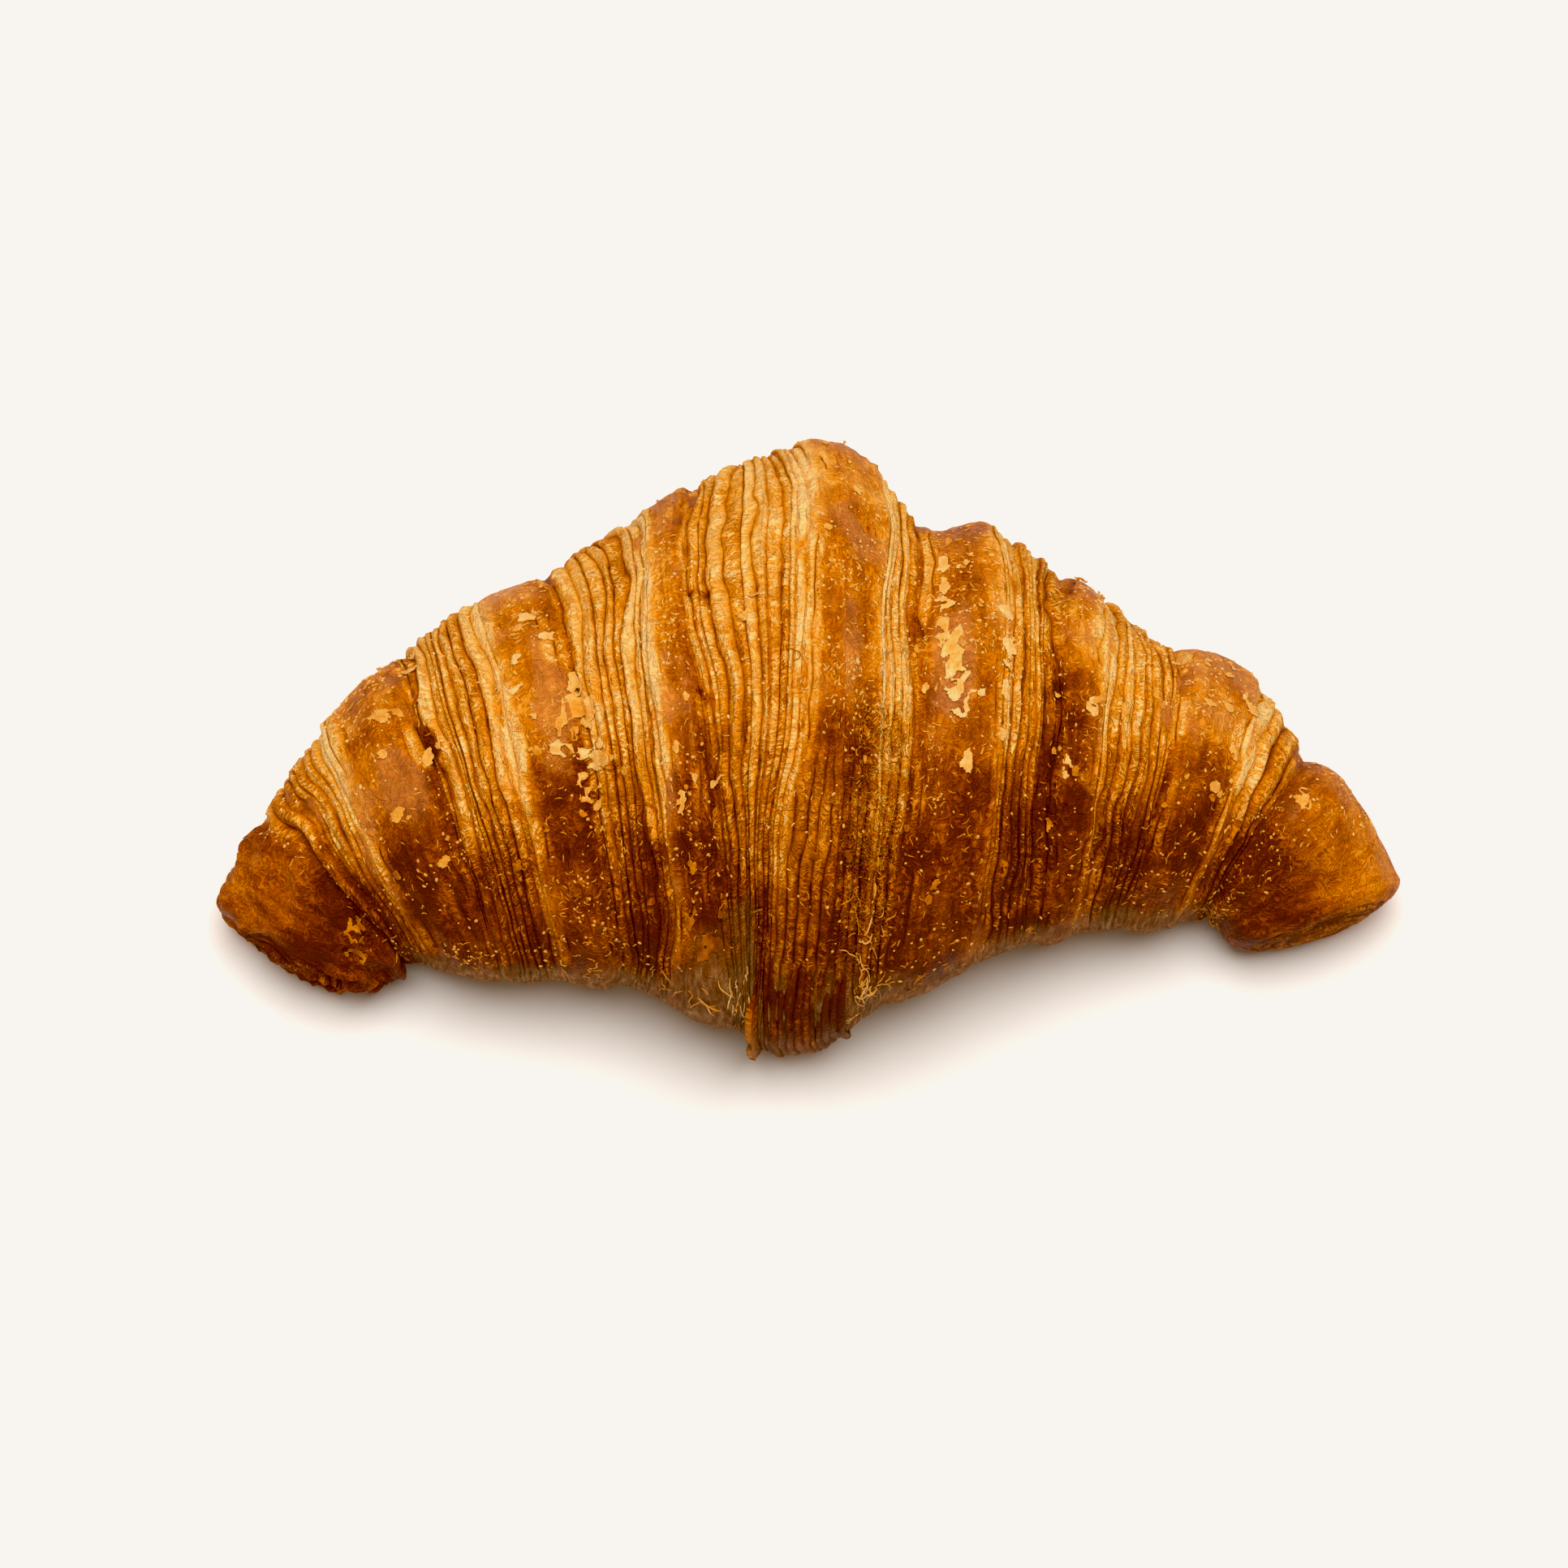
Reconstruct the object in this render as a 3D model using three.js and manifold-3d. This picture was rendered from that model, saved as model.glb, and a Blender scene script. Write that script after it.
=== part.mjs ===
// A butter croissant, baked in one piece and lying on its flat underside.
// Millimetres, +X to the right horn, +Y to the back, +Z up; both horns curl toward -Y.
import * as THREE from 'three';
import { ParametricGeometry } from 'three/addons/geometries/ParametricGeometry.js';
import { mergeVertices } from 'three/addons/utils/BufferGeometryUtils.js';
import Module from 'manifold-3d';

// The dough was rolled up from its wide edge, so it lies in turns that step down from the
// middle to both horns. Each row is one edge of a turn, from the left horn to the right:
// its place at the back and at the front, and how high it stands at its crown.
const turnEdges = [
  // back x, back y, front x, front y, height
  [-81.0, -16.5, -59.0, -28.5, 19.0],
  [-76.5, -8.5, -56.0, -27.0, 23.0],
  [-73.0, -1.5, -54.5, -26.0, 27.0],
  [-66.0, 5.0, -51.5, -27.0, 33.0],
  [-57.0, 14.0, -42.0, -29.0, 38.0],
  [-44.5, 21.5, -33.0, -29.5, 42.0],
  [-37.0, 24.5, -26.0, -30.5, 44.0],
  [-24.0, 31.2, -18.0, -33.5, 48.0],
  [-16.5, 36.0, -10.5, -35.5, 50.5],
  [-3.0, 41.5, -6.5, -38.0, 54.0],
  [9.5, 37.5, 5.5, -36.5, 53.5],
  [15.0, 31.5, 10.0, -34.5, 49.5],
  [24.0, 30.5, 21.5, -29.5, 48.0],
  [34.0, 24.5, 30.0, -25.5, 44.0],
  [38.5, 22.0, 35.0, -24.0, 42.5],
  [49.0, 15.2, 42.0, -22.5, 38.0],
  [60.0, 11.0, 49.5, -21.0, 34.0],
  [67.5, 2.4, 54.0, -20.0, 28.0],
  [76.0, -5.5, 56.0, -20.5, 23.5],
  [81.0, -14.0, 57.0, -22.0, 19.0],
];
const firstTread = 3;     // edge where the first glazed tread starts, every second band is one
const treadSwell = 0.9;   // how far a tread puffs out between its two edges
const edgeBow = 1.2;      // how far a turn leans toward its horn at the crown
const widestAt = 0.46;    // share of the height at which a section is widest
const undersideDrop = 0.5;  // share of the height below the widest place, before the base is cut
const fullness = 0.92;    // below 1 the section is fuller than an ellipse
const tipPlace = 9.2;     // where the pressed-down tip of the dough hangs down the front
const tipSpread = 1.0;    // how far along the roll that reaches, in turn edges
const tipSag = 0.26;      // share of the height by which it lowers the front there
const noseDepth = 4.5;    // how far the cut end of each horn bulges out
const noseHeight = 0.48;  // share of the rim height at which the nose stands out most

// how finely the crust is divided
const aroundSteps = 48;
const stepsPerBand = 3;
const noseSteps = 6;

const middleEdge = (turnEdges.length - 1) / 2;
const lastEdge = turnEdges.length - 1;

// distance between the middles of two neighbouring edges
function bandLength(index) {
  const [a, b] = [turnEdges[index], turnEdges[index + 1]];
  const dx = (a[0] + a[2] - b[0] - b[2]) / 2;
  const dy = (a[1] + a[3] - b[1] - b[3]) / 2;
  return Math.hypot(dx, dy);
}

// change of one column per millimetre at an edge
function slopeAt(index, column) {
  const rise = (i) => (turnEdges[i + 1][column] - turnEdges[i][column]) / bandLength(i);
  if (index === 0) return rise(0);
  if (index === lastEdge) return rise(lastEdge - 1);
  const before = bandLength(index - 1);
  const after = bandLength(index);
  return (rise(index - 1) * after + rise(index) * before) / (before + after);
}

// one column of the table, read smoothly between the edges
function readEdge(place, column) {
  const index = Math.min(Math.floor(place), lastEdge - 1);
  const t = place - index;
  const length = bandLength(index);
  const startSlope = slopeAt(index, column) * length;
  const endSlope = slopeAt(index + 1, column) * length;
  const [start, end] = [turnEdges[index][column], turnEdges[index + 1][column]];
  return (2 * t ** 3 - 3 * t ** 2 + 1) * start + (t ** 3 - 2 * t ** 2 + t) * startSlope
    + (3 * t ** 2 - 2 * t ** 3) * end + (t ** 3 - t ** 2) * endSlope;
}

// swell of the glazed treads, none in the bands between them
function swellAt(place) {
  const band = Math.floor(place);
  const isTread = band >= firstTread && band < lastEdge - firstTread && (band - firstTread) % 2 === 0;
  return isTread ? treadSwell * Math.sin(Math.PI * (place - band)) : 0;
}

// the pressed-down tip lowers the front of the middle turns, so that it slopes out to the table
function sagAt(place, sideways) {
  const share = tipSag * Math.exp(-(((place - tipPlace) / tipSpread) ** 2));
  return sideways < 0 ? share * sideways ** 2 : 0;
}

function rounded(value) {
  return Math.sign(value) * Math.abs(value) ** fullness;
}

// a point of the crust: place counts turn edges, turn goes once round from the underside
function crustPoint(place, turn, target) {
  const back = new THREE.Vector2(readEdge(place, 0), readEdge(place, 1));
  const front = new THREE.Vector2(readEdge(place, 2), readEdge(place, 3));
  const height = readEdge(place, 4);
  const middle = back.clone().add(front).multiplyScalar(0.5);
  const half = back.clone().sub(front).multiplyScalar(0.5);
  const across = new THREE.Vector2(half.y, -half.x).normalize();
  const swell = swellAt(place);
  const angle = -turn * 2 * Math.PI;
  const side = rounded(Math.sin(angle));
  const sideways = side * (1 + swell / half.length());
  const upward = -rounded(Math.cos(angle));
  const lean = edgeBow * Math.tanh((place - middleEdge) / 4) * Math.max(upward, 0);
  const reach = upward > 0 ? (1 - widestAt) * height + swell : undersideDrop * height;
  return target.set(
    middle.x + half.x * sideways + across.x * lean,
    middle.y + half.y * sideways + across.y * lean,
    (widestAt - sagAt(place, side)) * height + reach * upward,
  );
}

// the cut end of a horn, closeness goes from 0 at the rim to 1 at the middle of the nose
function nosePoint(edge, turn, closeness, target) {
  const [backX, backY, frontX, frontY, height] = turnEdges[edge];
  const outward = new THREE.Vector3(backY - frontY, frontX - backX, 0).normalize();
  if (edge === 0) outward.negate();
  const tip = new THREE.Vector3((backX + frontX) / 2, (backY + frontY) / 2, noseHeight * height);
  crustPoint(edge, turn, target);
  const angle = closeness * Math.PI / 2;
  return target.sub(tip).multiplyScalar(Math.cos(angle)).add(tip)
    .addScaledVector(outward, noseDepth * Math.sin(angle));
}

const bandSteps = lastEdge * stepsPerBand;
const lengthSteps = bandSteps + 2 * noseSteps;

// u runs from the left nose to the right nose, v goes round the roll
function roll(u, v, target) {
  const step = Math.round(u * lengthSteps);
  if (step < noseSteps) return nosePoint(0, v, 1 - step / noseSteps, target);
  const along = step - noseSteps;
  if (along > bandSteps) return nosePoint(lastEdge, v, (along - bandSteps) / noseSteps, target);
  return crustPoint(along / stepsPerBand, v, target);
}

const wasm = await Module();
wasm.setup();

// closed manifold solid from a three.js geometry
function toSolid(geometry) {
  const bare = geometry.clone();
  bare.deleteAttribute('normal');
  bare.deleteAttribute('uv');
  const joined = mergeVertices(bare, 1e-3);
  const corners = joined.index.array;
  const faces = [];
  for (let i = 0; i < corners.length; i += 3) {
    const [a, b, c] = [corners[i], corners[i + 1], corners[i + 2]];
    if (a !== b && b !== c && c !== a) faces.push(a, b, c);
  }
  return new wasm.Manifold(new wasm.Mesh({
    numProp: 3,
    vertProperties: new Float32Array(joined.attributes.position.array),
    triVerts: new Uint32Array(faces),
  }));
}

// three.js geometry from a manifold solid
function toGeometry(solid) {
  const mesh = solid.getMesh();
  const geometry = new THREE.BufferGeometry();
  geometry.setAttribute('position', new THREE.BufferAttribute(mesh.vertProperties, mesh.numProp));
  geometry.setIndex(new THREE.BufferAttribute(mesh.triVerts, 1));
  return geometry;
}

// the table flattened the soft underside, so everything below it is cut away
const tableLength = 200;
const tableWidth = 120;
const tableDepth = 20;
const table = new THREE.BoxGeometry(tableLength, tableWidth, tableDepth);
table.translate(0, 0, -tableDepth / 2);

const rolledDough = toSolid(new ParametricGeometry(roll, lengthSteps, aroundSteps));
const geometry = toGeometry(rolledDough.subtract(toSolid(table)));

// the origin is in the middle of the footprint, on the underside
geometry.computeBoundingBox();
const centre = geometry.boundingBox.getCenter(new THREE.Vector3());
geometry.translate(-centre.x, -centre.y, -geometry.boundingBox.min.z);
geometry.computeVertexNormals();

const crust = new THREE.MeshStandardMaterial({ color: 0xb9701f, roughness: 0.4, metalness: 0 });
const croissantMesh = new THREE.Mesh(geometry, crust);
croissantMesh.name = 'croissant';

const croissant = new THREE.Group();
croissant.name = 'butter_croissant';
croissant.add(croissantMesh);

export default croissant;
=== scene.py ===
import math
import random

import bmesh
import bpy
import numpy as np
from mathutils import Matrix, Vector


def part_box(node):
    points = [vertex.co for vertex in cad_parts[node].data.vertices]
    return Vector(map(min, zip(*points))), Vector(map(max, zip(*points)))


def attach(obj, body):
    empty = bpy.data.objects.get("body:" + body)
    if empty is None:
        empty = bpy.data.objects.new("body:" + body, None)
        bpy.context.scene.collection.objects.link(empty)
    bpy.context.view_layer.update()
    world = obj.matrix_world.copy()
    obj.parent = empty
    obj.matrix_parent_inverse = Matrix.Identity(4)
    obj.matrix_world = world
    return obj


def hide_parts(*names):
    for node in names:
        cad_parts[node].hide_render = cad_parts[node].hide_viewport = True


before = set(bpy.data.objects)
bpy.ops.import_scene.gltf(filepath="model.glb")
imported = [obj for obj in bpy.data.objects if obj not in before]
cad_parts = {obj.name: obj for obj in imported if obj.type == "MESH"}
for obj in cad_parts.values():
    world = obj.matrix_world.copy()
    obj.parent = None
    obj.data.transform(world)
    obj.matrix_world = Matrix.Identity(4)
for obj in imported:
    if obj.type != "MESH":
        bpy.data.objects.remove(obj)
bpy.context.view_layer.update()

# A butter croissant on a pale table. Metres, same frame as the CAD part; the roll itself is
# worked out in millimetres and scaled once, when its vertices are placed.
mm = 0.001
cadLow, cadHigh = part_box("croissant")
scene = bpy.context.scene

# edges of the turns from the left horn to the right, in mm: back x, back y, front x, front y,
# crown height, and how far the edge strays along the roll at the crown
turnEdges = np.array([
    [-81.0, -16.5, -59.0, -28.5, 19.0, 0.0],
    [-76.5, -8.5, -56.0, -27.0, 23.0, 0.0],
    [-73.0, -1.5, -54.5, -26.0, 27.0, -0.5],
    [-66.0, 5.0, -51.5, -27.0, 33.0, -1.0],
    [-57.0, 14.0, -42.0, -29.0, 38.0, 0.5],
    [-44.5, 21.5, -33.0, -29.5, 42.0, 0.0],
    [-37.0, 24.5, -26.0, -30.5, 44.0, 2.0],
    [-24.0, 31.2, -18.0, -33.5, 48.0, 1.5],
    [-16.5, 36.0, -10.5, -35.5, 50.5, -1.0],
    [-3.0, 41.5, -6.5, -38.0, 54.0, 4.0],
    [9.5, 37.5, 5.5, -36.5, 53.5, 1.0],
    [15.0, 31.5, 10.0, -34.5, 49.5, 1.0],
    [24.0, 30.5, 21.5, -29.5, 48.0, 1.5],
    [34.0, 24.5, 30.0, -25.5, 44.0, 0.0],
    [38.5, 22.0, 35.0, -24.0, 42.5, 0.5],
    [49.0, 15.2, 42.0, -22.5, 38.0, 0.5],
    [60.0, 11.0, 49.5, -21.0, 34.0, 1.5],
    [67.5, 2.4, 54.0, -20.0, 28.0, 1.0],
    [76.0, -5.5, 56.0, -20.5, 23.5, 0.0],
    [81.0, -14.0, 57.0, -22.0, 19.0, 0.0],
])
lastEdge = len(turnEdges) - 1
middleEdge = lastEdge / 2
roll = {
    "widestAt": 0.46,       # share of the height at which a section is widest
    "undersideDrop": 0.5,   # share of the height below that, before the table flattens it
    "fullness": 0.92,       # below 1 is fuller than an ellipse
    "treadSwell": 0.9,      # mm that a tread puffs out between its edges
    "edgeBow": 1.2,         # mm that a turn leans toward its horn at the crown
    "tipPlace": 9.2,        # where the pressed-down tip of the dough hangs down the front
    "tipSpread": 1.0,       # how far along the roll that reaches, in turn edges
    "tipSag": 0.26,         # share of the height by which it lowers the front there
    "noseDepth": 4.5,       # mm that the cut end of a horn bulges out
    "noseHeight": 0.48,     # share of the rim height at which the nose stands out most
    "rows": 128,            # divisions once round the roll
    "crownDensity": 0.35,   # how much closer the rows lie on top than underneath
    "noseColumns": 18,
}

# laminated risers by the band they fill: ridges, and depth of their grooves in mm
risers = {
    1: (3, 0.5),
    2: (5, 0.6),
    4: (9, 0.68),
    6: (8, 0.65),
    8: (12, 0.78),
    10: (5, 0.6),
    12: (8, 0.6),
    14: (8, 0.55),
    16: (4, 0.55),
}
treadRidge = 1.5             # mm from one faint ridge of a tread to the next
treadGroove = 0.3            # mm, depth of those
columnsPerRidge = {"riser": 7, "tread": 4}

middles = (turnEdges[:, 0:2] + turnEdges[:, 2:4]) / 2
bandLengths = np.hypot(*np.diff(middles, axis=0).T)
edgeDistances = np.concatenate([[0], np.cumsum(bandLengths)])


# change of every column per millimetre at each edge
def edgeSlopes():
    rises = np.diff(turnEdges, axis=0) / bandLengths[:, None]
    before = bandLengths[:-1, None]
    after = bandLengths[1:, None]
    inner = (rises[:-1] * after + rises[1:] * before) / (before + after)
    return np.vstack([rises[:1], inner, rises[-1:]])


slopes = edgeSlopes()


# the table of edges read smoothly at any place, place counts edges
def readEdges(place):
    index = np.clip(np.floor(place).astype(int), 0, lastEdge - 1)
    t = (place - index)[..., None]
    length = bandLengths[index][..., None]
    start = (2 * t ** 3 - 3 * t ** 2 + 1) * turnEdges[index]
    start = start + (t ** 3 - 2 * t ** 2 + t) * slopes[index] * length
    end = (3 * t ** 2 - 2 * t ** 3) * turnEdges[index + 1]
    end = end + (t ** 3 - t ** 2) * slopes[index + 1] * length
    return start + end


def rounded(value):
    return np.sign(value) * np.abs(value) ** roll["fullness"]


def smooth(low, high, value):
    t = np.clip((value - low) / (high - low), 0, 1)
    return t * t * (3 - 2 * t)


def bell(distance, width):
    return np.exp(-(distance / width) ** 2)


def isTread(band):
    return (band % 2 == 1) & (band >= 3) & (band <= lastEdge - 4)


# smooth value noise from -1 to 1 on a repeating lattice, each seed with its own
noiseSize = 32
noiseTables = {}


def noiseAt(x, y, z, seed):
    if seed not in noiseTables:
        drawn = np.random.default_rng(seed).random((noiseSize,) * 3)
        noiseTables[seed] = drawn * 2 - 1
    table = noiseTables[seed]
    x, y, z = np.broadcast_arrays(x, y, z)
    low = [np.floor(value).astype(int) for value in (x, y, z)]
    part = [value - base for value, base in zip((x, y, z), low)]
    part = [t * t * t * (t * (t * 6 - 15) + 10) for t in part]
    total = 0
    for corner in range(8):
        steps = [(corner >> axis) & 1 for axis in range(3)]
        weight = 1
        for step, t in zip(steps, part):
            weight = weight * (t if step else 1 - t)
        cell = [(base + step) % noiseSize for base, step in zip(low, steps)]
        total = total + weight * table[cell[0], cell[1], cell[2]]
    return total


# point of the smooth roll in mm, angle 0 underneath, then the back, the crown and the front
def rollPoint(place, angle):
    row = readEdges(place)
    backX, backY, frontX, frontY, height = [row[..., k] for k in range(5)]
    halfX = (backX - frontX) / 2
    halfY = (backY - frontY) / 2
    reach = np.hypot(halfX, halfY)
    band = np.floor(place).astype(int)
    swell = np.where(isTread(band), roll["treadSwell"] * np.sin(np.pi * (place - band)), 0)
    side = rounded(np.sin(angle))
    sideways = side * (1 + swell / reach)
    onTip = bell(place - roll["tipPlace"], roll["tipSpread"]) * np.where(side < 0, side ** 2, 0)
    upward = -rounded(np.cos(angle))
    lean = roll["edgeBow"] * np.tanh((place - middleEdge) / 4) * np.maximum(upward, 0)
    rise = np.where(upward > 0, (1 - roll["widestAt"]) * height + swell, roll["undersideDrop"] * height)
    x = (backX + frontX) / 2 + halfX * sideways + halfY / reach * lean
    y = (backY + frontY) / 2 + halfY * sideways - halfX / reach * lean
    z = (roll["widestAt"] - roll["tipSag"] * onTip) * height + rise * upward
    return np.stack([x, y, z], axis=-1)


# places where one ridge ends and the next begins; the ridges of a riser differ in width
def cutRidges():
    draw = np.random.default_rng(5)
    cuts = [0.0]
    perRidge = []
    for band in range(lastEdge):
        if band in risers:
            widths = 0.5 + 1.5 * draw.random(risers[band][0]) ** 1.6
            perRidge.extend([columnsPerRidge["riser"]] * len(widths))
        else:
            widths = np.ones(max(2, round(bandLengths[band] / treadRidge)))
            perRidge.extend([columnsPerRidge["tread"]] * len(widths))
        cuts.extend(band + np.cumsum(widths) / widths.sum())
    return np.array(cuts), perRidge


ridgeCuts, ridgeColumns = cutRidges()
edgeIndex = np.arange(lastEdge + 1)
ridgeWidths = np.diff(np.interp(ridgeCuts, edgeIndex, edgeDistances))


# columns of the grid: place along the roll, and how far each lies out on a nose
def layColumns():
    places = []
    for ridgeIndex, count in enumerate(ridgeColumns):
        start, end = ridgeCuts[ridgeIndex:ridgeIndex + 2]
        places.extend(start + (end - start) * np.arange(count) / count)
    places.append(lastEdge)
    nose = np.arange(roll["noseColumns"], 0, -1) / roll["noseColumns"]
    place = np.concatenate([np.zeros(len(nose)), places, np.full(len(nose), lastEdge)])
    closeness = np.concatenate([nose, np.zeros(len(places)), nose[::-1]])
    return place, closeness


columnPlace, columnNose = layColumns()
rowShare = np.arange(roll["rows"] + 1) / roll["rows"]
rowAngle = 2 * np.pi * rowShare + roll["crownDensity"] * np.sin(2 * np.pi * rowShare)
q = columnPlace[:, None]
angle = rowAngle[None, :]
crownShare = np.maximum(-np.cos(angle), 0)
q, angle = np.broadcast_arrays(q, angle)
band = np.clip(np.floor(q).astype(int), 0, lastEdge - 1)
alongRoll = np.interp(q, edgeIndex, edgeDistances)

# edges stray from their straight line at the crown, and wander a little everywhere
strayMm = readEdges(q)[..., 5] * crownShare
awayFromEnds = smooth(0, 2, q) * smooth(lastEdge, lastEdge - 2, q)
strayMm = strayMm + 0.9 * noiseAt(alongRoll / 9, angle * 2.5, 0.5, 11) * awayFromEnds
place = np.interp(alongRoll + strayMm, edgeDistances, edgeIndex)
base = rollPoint(place, angle)

# noses close the two ends
for edge, outSign in ((0, -1), (lastEdge, 1)):
    backX, backY, frontX, frontY, height = turnEdges[edge, :5]
    outward = np.array([backY - frontY, frontX - backX, 0]) / math.hypot(backX - frontX, backY - frontY)
    tip = np.array([(backX + frontX) / 2, (backY + frontY) / 2, roll["noseHeight"] * height])
    onNose = (columnNose > 0) & (columnPlace == edge)
    turn = (columnNose[onNose] * np.pi / 2)[:, None, None]
    swelling = outSign * outward * roll["noseDepth"] * np.sin(turn)
    base[onNose] = tip + (base[onNose] - tip) * np.cos(turn) + swelling

print(f"roll laid out: {base.shape[0]} columns, {base.shape[1]} rows")


# outward normals of a grid of points that is closed round the roll
def gridNormals(points):
    alongStep = np.gradient(points, axis=0)
    wrapped = np.concatenate([points[:, -2:-1], points, points[:, 1:2]], axis=1)
    roundStep = (wrapped[:, 2:] - wrapped[:, :-2]) / 2
    normals = np.cross(roundStep, alongStep)
    length = np.linalg.norm(normals, axis=2, keepdims=True)
    return normals / np.maximum(length, 1e-9)


normals = gridNormals(base)
roundStep = np.linalg.norm(np.diff(base, axis=1), axis=2)
aroundMm = np.concatenate([np.zeros((base.shape[0], 1)), np.cumsum(roundStep, axis=1)], axis=1)
aroundMm = aroundMm - aroundMm[:, roll["rows"] // 2][:, None]   # 0 on the crown, positive to the front
px, py, pz = [base[..., k] for k in range(3)]
heightShare = pz / readEdges(q)[..., 4]


# from 0 to 1 while the way round goes from one angle to another, in degrees
def wayRound(start, end):
    return smooth(math.radians(start), math.radians(end), angle)


# noise with lumps so many mm across
def lumpNoise(size, seed):
    return noiseAt(px / size, py / size, pz / size, seed)


# mm along the roll from a place that counts edges
def fromPlace(place):
    return alongRoll - np.interp(place, edgeIndex, edgeDistances)


# a lip swells on one edge of each riser, on the side of the middle, and a crevice runs at the other
def isLip(edge):
    return (edge % 2 == 1) == (edge < middleEdge)


# layer counts the ridges along the whole roll; they wander, merge and run under each other
layer = np.interp(q, ridgeCuts, np.arange(len(ridgeCuts)))
layer = layer + 0.9 * noiseAt(aroundMm / 26, alongRoll / 6, 0.3, 21)
layer = layer + 0.32 * noiseAt(aroundMm / 10, alongRoll / 3.5, 0.5, 23)
layer = layer + 0.2 * noiseAt(aroundMm / 3.5, alongRoll / 1.6, 0.7, 22)
sheet = np.floor(layer)
within = layer - sheet
ridgeWidth = ridgeWidths[np.clip(sheet, 0, len(ridgeWidths) - 1).astype(int)]

onNose = np.broadcast_to(columnNose[:, None] > 0, q.shape)
inRiser = np.isin(band, list(risers)) & ~onNose
fromLeft = (q - band) * bandLengths[band]
fromRight = (1 - q + band) * bandLengths[band]
edgeFray = 2.2 * noiseAt(aroundMm / 6, alongRoll / 3, 0.2, 33)
edgeFray = edgeFray + 1.0 * noiseAt(aroundMm / 2, alongRoll, 0.2, 34)
insideMm = np.minimum(fromLeft, fromRight) + edgeFray
riserMask = np.where(inRiser, smooth(-1.2, 0.8, insideMm), smooth(1.4, -0.6, insideMm))
awayFromHorns = smooth(1.0, 1.5, q) * smooth(lastEdge - 1.6, lastEdge - 2.4, q)
riserMask = riserMask * np.where(onNose, 0, awayFromHorns)
# low on the front the middle tread has split into ridges too
splitTread = wayRound(186, 202) * smooth(8.8, 9.1, q) * smooth(10.3, 9.9, q)
riserMask = np.maximum(riserMask, 0.85 * splitTread)
grooveDepth = np.full(q.shape, treadGroove)
for index, (_, depth) in risers.items():
    grooveDepth[band == index] = depth

ridgedPatch = smooth(0.0, 0.5, noiseAt(alongRoll / 8, aroundMm / 14, 0.4, 35))
treadRidges = 0.15 + 0.5 * ridgedPatch + 0.7 * wayRound(195, 232)
treadRidges = treadRidges * smooth(1.5, 3, q) * smooth(lastEdge - 1.5, lastEdge - 3, q)
ridgeAmount = riserMask + (1 - riserMask) * treadRidges
ridgeAmount = ridgeAmount * (1 - 0.6 * wayRound(200, 235))
nearContour = smooth(0.62, 0.45, heightShare) * wayRound(180, 216)
ridgeAmount = ridgeAmount * (1 - 0.6 * nearContour)

ridge = 1 - np.abs(2 * within - 1) ** 2
sheetLift = noiseAt(sheet * 3.7, aroundMm / 22, 0.1, 31)
groovePull = np.maximum(0.74 + 1.1 * noiseAt(np.round(layer) * 5.3, aroundMm / 14, 0.6, 32), 0.15)
depthHere = grooveDepth * np.clip(ridgeWidth / 1.3, 0.55, 1.5)
depthHere = depthHere * (1 - 0.35 * wayRound(188, 222))
knots = 0.16 * noiseAt(sheet * 5.1, aroundMm / 2.6, 0.4, 36)
relief = ridgeAmount * (depthHere * (ridge * groovePull - 0.5) + 0.45 * sheetLift + knots)

# heights and depths in mm of the folds and swellings that lie on the roll
folds = {
    "lip": 0.5,
    "crevice": 0.65,
    "behindHorn": 1.0,
    "hornCollar": 0.5,
    "onLeftHorn": 1.0,
    "besideLeftFold": 0.6,
    "frontSwell": 1.3,
    "pit": 1.2,
    "lumps": (0.7, 0.3, 0.13),     # the large, the middling and the small
    "hornDimples": 2.0,
    "crinkles": 0.8,
    "endRings": 0.55,
}
frontFade = 1 - 0.6 * wayRound(190, 225)      # the crevices fade toward the foot of the front
contourFade = 1 - 0.5 * nearContour
for edge in range(2, lastEdge - 1):
    distance = (alongRoll - edgeDistances[edge]) * (1 if edge < middleEdge else -1)
    if isLip(edge):
        relief = relief + folds["lip"] * bell(distance - 0.6, 1.2) * contourFade
    else:
        crevice = np.where(distance < 0, bell(distance, 0.5), np.exp(-np.abs(distance) / 1.6))
        relief = relief - folds["crevice"] * crevice * contourFade * frontFade

# the horns sit behind a deeper fold
for edge, side in ((1.3, -1), (lastEdge - 2, 1)):
    distance = fromPlace(edge) * side
    relief = relief - folds["behindHorn"] * bell(distance, 1.2)
    relief = relief + folds["hornCollar"] * bell(distance - 2.8, 1.6)

# the left horn is folded over once more, from its top down to the front
foldPlace = np.interp(np.degrees(angle), (130, 143, 193, 223, 240), (1.7, 1.6, 1.15, 0.8, 0.6))
fromFold = fromPlace(foldPlace)
foldReach = wayRound(125, 150) * wayRound(245, 225)
foldSwell = folds["besideLeftFold"] * bell(fromFold + 1.8, 1.3)
relief = relief + foldReach * (foldSwell - folds["onLeftHorn"] * bell(fromFold, 0.8))

# the front swells a little between the horn and the tongue
lowOnFront = bell(angle - math.radians(262), 0.5)
for swellPlace, swellReach in ((7.7, 0.9), (4.2, 0.7)):
    relief = relief + folds["frontSwell"] * bell(q - swellPlace, swellReach) * lowOnFront

# small pits where steam came out
pitDepth = np.zeros(q.shape)
for pitPlace, pitDegrees in ((8.05, 155), (8.2, 158), (7.95, 178), (6.3, 190)):
    fromPit = np.hypot((q - pitPlace) * 9, (angle - math.radians(pitDegrees)) * 30)
    pitDepth = np.maximum(pitDepth, bell(fromPit, 0.55))
relief = relief - folds["pit"] * pitDepth

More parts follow.
